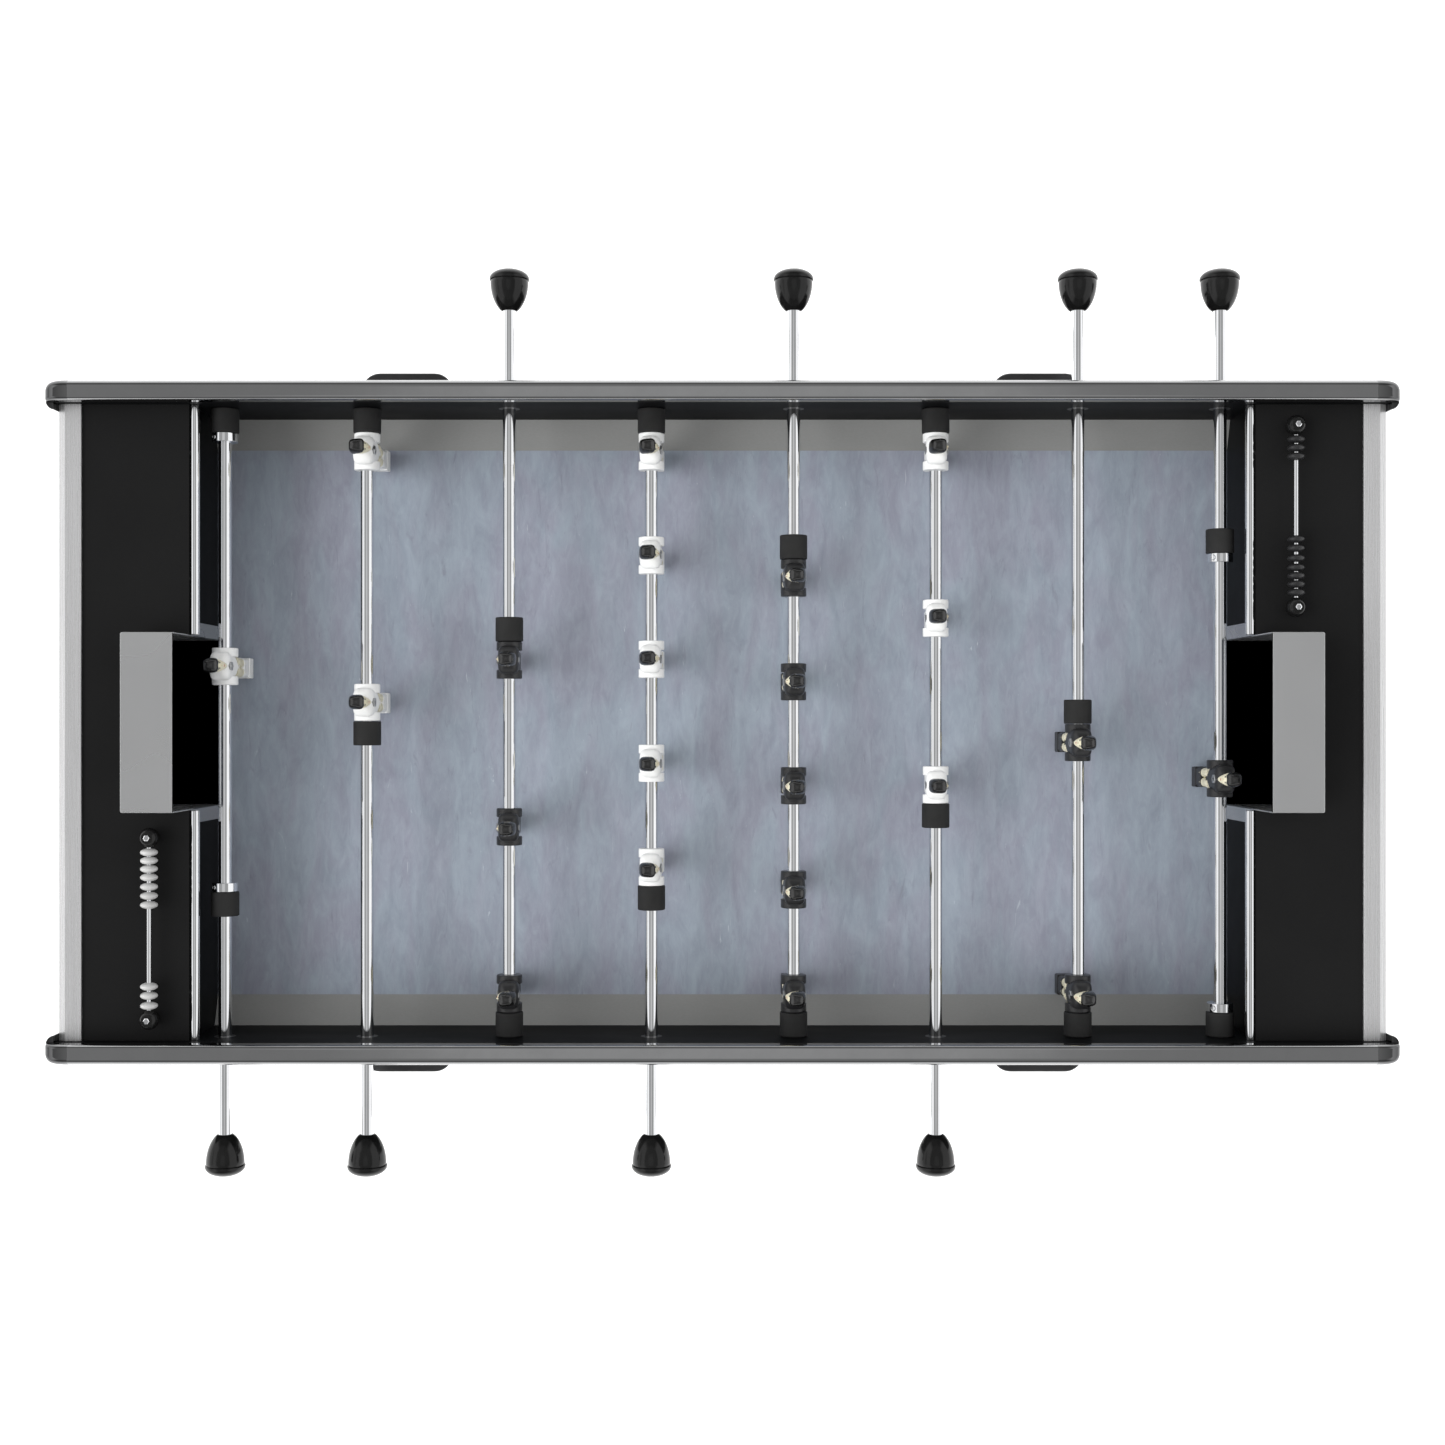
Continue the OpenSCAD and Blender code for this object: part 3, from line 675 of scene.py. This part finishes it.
def feet():
    """Levelling foot: a domed pad, a threaded stem and a hexagonal lock nut."""
    x = box("legs")[1][0] - LEG_WIDE / 2
    y = box("legs")[1][1] - LEG_DEEP / 2
    pad = rounded([(0, 0), (0, 30), (7, 30), (16, 14), (16, 0)], [0, 1.5, 3, 1.5, 0], 4)
    pitch = 2.2
    turns = np.arange(0, 44.1, pitch / 4)
    stem = np.stack([16 + turns, 7.6 + 0.35 * np.cos(turns * 2 * math.pi / pitch)], 1)
    stem = np.concatenate([[(15, 0), (15, 7.6)], stem, [(75, 7.6), (75, 0)]])
    nut = [(31, 0), (31, 12.4), (32, 14), (39, 14), (40, 13), (40, 0)]
    parts = [revolve(pad, (x, y, 0), "z", 56), revolve(stem, (x, y, 0), "z", 28),
             revolve(nut, (x, y, 0), "z", 6)]
    piece("levelling_feet_zinc", [made for part in parts for made in four_corners(part)], [ZINC], "table",
          ["levelling_feet"])


def leg_bolts():
    """Low domed bolt heads with a recess outside, washers and nuts inside the cabinet."""
    x = box("legs")[1][0] - LEG_WIDE / 2
    y = box("legs")[1][1]
    face = WALL - 1.6
    head = [(y - 2, 0), (y - 2, 10), (y + 1, 10), (y + 2.6, 8.9), (y + 3.6, 6.9), (y + 4, 4.9),
            (y + 3.9, 4.4), (y + 1.6, 4.2), (y + 1.6, 0)]
    dome = revolve(head, (x, 0, 0), "y", 36)
    shank = revolve([(WALL - 10, 0), (WALL - 10, 3.4), (WALL - 9.4, 4), (y, 4), (y, 0)], (x, 0, 0), "y", 24)
    washer = revolve([(face, 0), (face, 8.6), (WALL - 1.2, 9), (WALL, 9), (WALL, 0)], (x, 0, 0), "y", 32)
    nut = revolve([(WALL - 8.1, 0), (WALL - 8.1, 6.6), (WALL - 7.3, 7.5), (WALL - 2.2, 7.5), (face, 6.9),
                   (face, 0)], (x, 0, 0), "y", 6)
    shapes = []
    for z in (640, 715):
        for part in (dome, shank, washer, nut):
            lifted = moved(part, lambda p, z=z: p + np.array([0, 0, z]))
            shapes += four_corners(lifted)
    piece("leg_bolts_zinc", shapes, [ZINC], "table", ["leg_bolts"])


# Rods

TUBE_BORE = 5.06
SLIDE_BORE = 7.56
HOLE_R = 12
FLANGE_R = 17
FLANGE_THICK = 4
COLLAR_LONG = 10.0
BUMPER_LONG = 27.2


def rod_place(n):
    """Where rod n lies: its x and z, and which side its handle is on (-1 for white, +1 for black)."""
    low, high = box(f"tube_{n}")
    return (low[0] + high[0]) / 2, (low[2] + high[2]) / 2, -1 if n in WHITE_RODS else 1


def rod(n):
    """Chrome tube with an open far end; its profile goes up the outside and back down the bore."""
    low, high = box(f"tube_{n}")
    x, z, hand = rod_place(n)
    r = (high[0] - low[0]) / 2
    closed, mouth = (low[1], high[1]) if hand < 0 else (high[1], low[1])
    inward = -hand
    bore_end = closed + 30 * inward
    profile = rounded([(closed, 0), (closed, r), (mouth, r), (mouth, TUBE_BORE), (bore_end, TUBE_BORE),
                       (bore_end, 0)], [0, 0.5, 0.6, 0.3, 0, 0], 3)
    piece(f"tube_{n}_chrome", [revolve(profile, (x, 0, z), "y", 56)], [CHROME], f"rod_{n}",
          [f"tube_{n}"])


def ring_on_rod(x, z, y1, y2, bore, radius, edge, around=56):
    """Ring round a rod: a rectangle in (along, radius) with rounded outer corners, swept full circle."""
    outline = rounded([(y1, bore), (y2, bore), (y2, radius), (y1, radius)], [0, 0, edge, edge], 5)
    return revolve(outline, (x, 0, z), "y", around, loop=True)


def bumpers(n):
    """Two rubber sleeves on the tube, which stop its slide at the side panels."""
    low, high = box(f"bumpers_{n}")
    x, z = rod_place(n)[:2]
    r = (high[0] - low[0]) / 2
    shapes = [ring_on_rod(x, z, y, y + BUMPER_LONG, SLIDE_BORE, r, 1.4)
              for y in (low[1], high[1] - BUMPER_LONG)]
    piece(f"bumpers_{n}_rubber", shapes, [RUBBER], f"rod_slide_{n}", [f"bumpers_{n}"])


def handle(n):
    """Bell handle: the swelling neck follows radius = neck + (bell - neck) sin a over
    along = bell length (0.55 (1 - cos a) + 0.45 a / 90), then a groove, a lip and a dome."""
    low, high = box(f"handle_{n}")
    x, z, hand = rod_place(n)
    near, far = (high[1], low[1]) if hand < 0 else (low[1], high[1])
    sign = np.sign(far - near)
    a = np.linspace(0, math.pi / 2, 15)[1:-1]
    bell, neck, widest, lip = 33.8, 8.8, 21.4, 22.4
    swell = np.stack([bell * (0.55 * (1 - np.cos(a)) + 0.45 * a / (math.pi / 2)),
                      neck + (widest - neck) * np.sin(a)], 1)
    b = np.linspace(0.12, math.pi / 2, 10)
    dome = np.stack([36.0 + 11.3 * np.sin(b), lip * np.cos(b)], 1)
    profile = np.concatenate([
        [(6, 0), (6, 7.52), (0.5, 7.52), (0, 7.9), (0, 8.4), (0.35, 8.95)], swell,
        [(33.2, 21.4), (33.55, 21.25), (33.7, 20.9), (34.0, 20.9), (34.15, 21.5), (34.5, 22.1),
         (35.0, 22.38), (35.7, 22.4)], dome])
    profile[:, 0] = near + sign * profile[:, 0]
    piece(f"handle_{n}_grip", [revolve(profile, (x, 0, z), "y", 64)], [BALL_GRIP], f"rod_{n}",
          [f"handle_{n}"])


def collars(n):
    """Clamping collars with a recessed set screw in each."""
    low, high = box(f"collars_{n}")
    x, z = rod_place(n)[:2]
    r = (high[0] - low[0]) / 2
    shapes = []
    for y in (low[1], high[1] - COLLAR_LONG):
        shapes.append(ring_on_rod(x, z, y, y + COLLAR_LONG, 7.5, r - 0.35, 0.6))
        for side in (-1, 1):
            screw = revolve([(r - 3, 0), (r - 3, 3.1), (r - 0.25, 3.1), (r - 0.02, 2.8), (r - 0.25, 2.3),
                             (r - 1.5, 2.1), (r - 1.5, 0)], (0, 0, 0), "z", 24)
            if side > 0:
                screw = mirrored(screw, 1, 1, -1)
            angle = math.radians(-45)
            c, s = math.cos(angle), math.sin(angle)
            spin = np.array([[c, 0, s], [0, 1, 0], [-s, 0, c]])
            middle = np.array([x, y + COLLAR_LONG / 2, z])
            shapes.append(moved(screw, lambda p, m=middle, q=spin: p @ q.T + m))
    piece(f"collars_{n}_chrome", shapes, [CHROME], f"rod_{n}", [f"collars_{n}"])


def bushes():
    """Flanged plastic bushes: open ones that the tubes run in, closed ones that hold the inner rods."""
    lip = WALL_OUTSIDE + FLANGE_THICK
    shapes = []
    for n in RODS:
        x, z, hand = rod_place(n)
        running = rounded([(WALL, SLIDE_BORE), (lip, SLIDE_BORE), (lip, FLANGE_R), (WALL_OUTSIDE, FLANGE_R),
                           (WALL_OUTSIDE, HOLE_R), (WALL, HOLE_R)], [0.4, 0.8, 1.6, 0.2, 0, 0.2], 4)
        shapes.append(revolve(running * (hand, 1), (x, 0, z), "y", 48, loop=True))
        closed = rounded([(WALL, 0), (WALL, HOLE_R), (WALL_OUTSIDE, HOLE_R), (WALL_OUTSIDE, FLANGE_R),
                          (lip, FLANGE_R), (lip, 0)], [0, 0.2, 0, 0.2, 1.6, 0], 4)
        shapes.append(revolve(closed * (-hand, 1), (x, 0, z), "y", 48))
    piece("rod_bushes_moulded", shapes, [BUSH], "table", ["rod_bushes"])


# Figures, drawn facing +x with the rod's axis as the origin

def hair_cap():
    """Domed square cushion of hair: ring u is the superellipse of power 3.4 scaled by
    (1 - u^2.3)^(1/2.3), and its height goes from a rim that slopes up to the forehead,
    44.5 + 0.75 x, to the crown at 58.2."""
    u = np.linspace(0, 1, 14)[:, None]
    t = np.arange(40) * 2 * math.pi / 40
    c, s = np.cos(t), np.sin(t)
    size = np.maximum(1 - u**2.3, 0) ** (1 / 2.3)
    x = 9.5 * size * np.sign(c) * np.abs(c) ** (2 / 3.4)
    y = 8.2 * size * np.sign(s) * np.abs(s) ** (2 / 3.4)
    rim = 44.5 + 0.75 * x
    return skin(np.stack([x, y, rim + (58.2 - rim) * u], -1))


def figure():
    """All the shapes of one figure, each with the number of its finish: 0 body, 1 skin, 2 hair,
    3 eyes, 4 lips, 5 screws."""
    z = np.array([-14.2, -14.0, -11, -4, 4, 10, 14, 17, 20, 22.5, 24.6, 26.2, 27.3, 27.9, 28])
    across = np.minimum(np.interp(z, [-14, 0, 9, 14], [12.6, 13.2, 15.6, 16]),
                        np.sqrt(np.maximum(18.5**2 - (z - 9.5) ** 2, 0.01)))
    deep = np.where(z < 16, 12.0, np.sqrt(np.maximum(144 - (z - 16) ** 2, 0.01)))
    deep[0], across[0] = 11.2, 11.9
    torso = loft(np.stack([z, -deep + 0.3, deep, across], 1), 40, 4.0)
    stubs = [revolve(rounded([(s * 10.8, 7.5), (s * 20.8, 7.5), (s * 20.8, 14.4), (s * 10.8, 14.4)],
                             [0, 0, 1.3, 0.9], 4), (0, 0, 0), "y", 56, loop=True) for s in (-1, 1)]
    rim_z = np.array([-10, -14, -22, -30, -38, -47, -52])
    thigh = np.stack([rim_z, [-8.5, -8.5, -8.2, -7.6, -7.4, -7.8, -7.8],
                      [11.6, 11.6, 10.9, 9.0, 7.6, 7.0, 7.0],
                      [7.4, 7.4, 6.9, 6.2, 5.7, 5.6, 5.6]], 1)
    legs_pair = [moved(loft(thigh, 20, 2.3), lambda p, s=s: p + (0, s * 5.4, 0)) for s in (-1, 1)]
    boot = rounded([(-9, -11.8), (7.6, -11.8), (7.6, 11.8), (-9, 11.8)], 1.6, 4)
    sole = prism(boot, "z", -78, -64, 1.2, 3)
    ankle = prism(rounded([(-8.6, -10.9), (6.9, -10.9), (6.9, 10.9), (-8.6, 10.9)], 3.2, 4),
                  "z", -66, -47, 1.0, 3)
    ring = rounded([(-47.6, 4.2), (-45.2, 4.2), (-45.2, 6.4), (-47.6, 6.9)], [0, 0.6, 0.7, 0.2], 3)
    ring = revolve(ring, (0, 0, 0), "z", 24, loop=True)
    cuff = [moved(ring, lambda p, s=s: p * (1.22, 0.92, 1) + (-0.4, s * 5.5, 0)) for s in (-1, 1)]
    face = loft([(25.5, 3, 8.8, 1.0), (26.2, 1, 10.6, 2.4), (28, -3, 11.7, 4.0), (31, -5, 11.9, 5.4),
                 (35, -6.2, 11.4, 6.6), (39, -6.8, 10.9, 7.4), (43, -7, 10.3, 7.7), (47, -6.6, 9.0, 7.3),
                 (51, -6, 7.2, 6.8), (54, -5, 5.5, 5.5)], 28, 2.35)
    neck = revolve([(20, 0), (20, 5.4), (34, 5.0), (34, 0)], (0, 0, 0), "z", 20)
    nose = egg((10.8, 0, 41.4), (1.5, 1.0, 2.3))
    ears = [egg((-0.6, s * 7.5, 43.5), (1.6, 0.8, 2.6)) for s in (-1, 1)]
    eyes = [egg((9.1, s * 3.0, 45.4), (0.6, 1.2, 0.8)) for s in (-1, 1)]
    brows = [moved(egg((0, 0, 0), (0.6, 1.9, 0.45)),
                   lambda p, s=s: p + np.array([8.2, s * 3.3, 47.9]) + np.outer(p[:, 1], (0, 0, -0.18 * s)))
             for s in (-1, 1)]
    lips = egg((11.1, 0, 36.6), (0.7, 1.5, 0.55))
    front = [(8, 0), (8, 5.5), (12.7, 5.5), (13.3, 4.9), (13.3, 3.2), (13.0, 2.9), (11.9, 2.8), (11.9, 0)]
    screw = revolve(front, (0, 0, 16), "x", 6, turn=math.pi / 6)
    back = [(-12.5, 0), (-12.5, 4.2), (-12.1, 5.0), (-8, 5.0), (-8, 0)]
    nut = revolve(back, (0, 0, 16), "x", 6)
    numbered = [(0, [torso, *stubs, sole, ankle, *cuff]), (1, [*legs_pair, face, neck, nose, *ears]),
                (2, [hair_cap()]), (3, [*eyes, *brows]), (4, [lips]), (5, [screw, nut])]
    return [(part[0], part[1], k) for k, parts in numbered for part in parts]


def players(n):
    """The men of one rod, evenly spread between the ends of their CAD node, leaning back a little."""
    low, high = box(f"players_{n}")
    x, z, hand = rod_place(n)
    facing = -hand
    lean = math.radians(3.5)
    count = MEN[n]
    places = np.linspace(low[1] + 20.8, high[1] - 20.8, count) if count > 1 else [(low[1] + high[1]) / 2]
    tip = np.array([[math.cos(lean), 0, -math.sin(lean)], [0, 1, 0], [math.sin(lean), 0, math.cos(lean)]])
    shapes = []
    for points, faces, finish in figure():
        on_hub = finish == 0 and np.abs(points[:, 1]).max() > 20
        turned = points if on_hub else points @ tip.T
        turned = turned * (facing, 1, 1)
        faces = outward(turned, faces)
        shapes += [(turned + (x, y, z), faces, finish) for y in places]
    team = WHITE if n in WHITE_RODS else BLACK
    piece(f"players_{n}_painted", shapes, [team, SKIN, HAIR, EYE, LIP, STEEL], f"rod_{n}",
          [f"players_{n}"])


# Score counters

POST_YS = (127.0, 327.7)
ROD_YS = (130.0, 324.7)
BEAD_HALF = 4.45
BEAD_R = 9.55


def counter_place(s):
    """Middle line of a counter: white (s = 1) at the -x end, black at the +x end."""
    low, high = box("score_rods")
    end = high[0] if s < 0 else low[0]
    return end + (2.5 if s > 0 else -2.5), (low[2] + high[2]) / 2


def score_parts():
    """Posts with a ball top, their screws from above, and the thin rods between the posts."""
    posts, screws, rods = [], [], []
    bottom = box("score_posts")[0][2]
    for s in (1, -1):
        x, z = counter_place(s)
        foot = bottom - z
        for y in (-s * post for post in POST_YS):
            a = np.linspace(math.radians(-62), math.radians(54.9), 16)
            ball = np.stack([11 * np.sin(a), 11 * np.cos(a)], 1)
            profile = np.concatenate([[(foot, 0), (foot, 7.5), (-11.2, 7.4), (-10.3, 6.3)], ball[1:],
                                      [(9, 0)]])
            posts.append(revolve(profile, (x, y, z), "z", 48))
            head = revolve([(8.6, 0), (8.6, 3.4), (9.4, 3.6), (10.6, 3.5), (11.2, 2.7), (11.2, 1.7),
                            (10.2, 1.5), (10.2, 0)], (x, y, z), "z", 6)
            stem = revolve([(-20.4, 0), (-20.4, 1.5), (-19.9, 1.9), (9, 1.9), (9, 0)], (x, y, z), "z", 16)
            screws += [head, stem]
        ends = sorted(-s * end for end in ROD_YS)
        rods.append(revolve(rounded([(ends[0], 0), (ends[0], 2.5), (ends[1], 2.5), (ends[1], 0)],
                                    [0, 0.4, 0.4, 0], 2), (x, 0, z), "y", 28))
    piece("score_posts_turned", posts, [BALL_GRIP], "table", ["score_posts"])
    piece("score_screws_steel", screws, [CHROME], "table", ["score_screws"])
    piece("score_rods_chrome", rods, [CHROME], "table", ["score_rods"])


BEADS = {
    "white_beads_won": (1, [143, 152.2, 161.4, 170.6, 181, 191, 201]),
    "white_beads_left": (1, [291, 301, 312.1]),
    "black_beads_won": (-1, [143.2, 152.4, 161.6, 170.8, 181, 192, 202]),
    "black_beads_left": (-1, [293, 302.5, 312]),
}


def beads(node):
    """Lens-shaped beads: the ellipse radius = BEAD_R cos a, along = BEAD_HALF sin a, cut off by a
    straight bore. They sit in the node's box at the same steps as the CAD beads."""
    s, ys = BEADS[node]
    low, high = box(node)
    x, z = counter_place(s)
    x = (low[0] + high[0]) / 2
    a = np.linspace(1.25, -1.25, 21)
    lens = np.stack([BEAD_HALF * np.sin(a), BEAD_R * np.cos(a)], 1)
    profile = np.concatenate([[(4.0, 2.58)], lens, [(-4.0, 2.58)]])
    steps = np.array(ys) - ys[0]
    first = high[1] - BEAD_HALF if s > 0 else low[1] + BEAD_HALF
    shapes = [revolve(profile, (x, first - s * step, z), "y", 32, loop=True) for step in steps]
    white = node.startswith("white")
    piece(f"{node}_lens", shapes, [BEAD_WHITE if white else BLACK], node, [node])


top_rails()
rail_caps()
end_profiles()
wall_bars()
goal_hoods()
legs()
feet()
leg_bolts()
bushes()
for n in RODS:
    rod(n)
    bumpers(n)
    handle(n)
    players(n)
for n in (1, 8):
    collars(n)
score_parts()
for node in BEADS:
    beads(node)


# Studio

def studio():
    """Camera straight above, pale floor, two soft suns, and a sky that is bright near the horizon and at
    the table's ends and grey overhead."""
    scene = bpy.context.scene
    data = bpy.data.cameras.new("camera")
    data.lens = CAMERA_LENS
    camera = bpy.data.objects.new("camera", data)
    camera.location = (0, 0, CAMERA_HEIGHT)
    scene.collection.objects.link(camera)
    scene.camera = camera
    scene.view_settings.view_transform = "Standard"

    mesh = bpy.data.meshes.new("floor")
    mesh.from_pydata([(-60, -60, 0), (60, -60, 0), (60, 60, 0), (-60, 60, 0)], [], [(0, 1, 2, 3)])
    floor = bpy.data.objects.new("floor", mesh)
    scene.collection.objects.link(floor)
    pale = Finish("pale_floor", Base_Color=(0.85, 0.85, 0.85, 1), Roughness=0.8,
                  Emission_Color=(1, 1, 1, 1), Emission_Strength=0.55)
    mesh.materials.append(pale.material)

    world = bpy.data.worlds.new("studio")
    scene.world = world
    world.use_nodes = True
    sky = Nodes(world.node_tree)
    towards = sky.node("ShaderNodeTexCoord", output="Generated")
    x, y, up = (sky.node("ShaderNodeSeparateXYZ", inputs={0: towards}, output=k) for k in range(3))
    overhead = sky.spread(up, 0.965, 0.975, 0.34, 0.55)
    sideways = x * x * (x * x + y * y + 0.001) ** -1.0
    sides = sky.spread(sideways, 0.3, 0.6, 0.16, 1.05) * sky.spread(x, -0.94, -0.86, 0.3, 1.0)
    low = sky.maths("MAXIMUM", sides, sky.spread(up, 0.25, 0.45, 1.0, 0.0))
    ring = sky.spread(up, 0.745, 0.77)
    level = low * (1 - ring) + overhead * ring
    tree = world.node_tree
    tree.links.new(level.socket, tree.nodes["Background"].inputs["Color"])
    tree.nodes["Background"].inputs["Strength"].default_value = 1.05

    # Soft lights that polished metal doesn't mirror: a key from the left, and a wide fill overhead.
    for name, spread, energy, tilt, turn in (("key", 48, 2.1, -50, 14), ("fill", 150, 1.3, 0, 0)):
        light = bpy.data.lights.new(name, "SUN")
        light.angle = math.radians(spread)
        light.energy = energy
        lamp = bpy.data.objects.new(name, light)
        lamp.rotation_euler = (0, math.radians(tilt), math.radians(turn))
        lamp.visible_glossy = False
        scene.collection.objects.link(lamp)


studio()
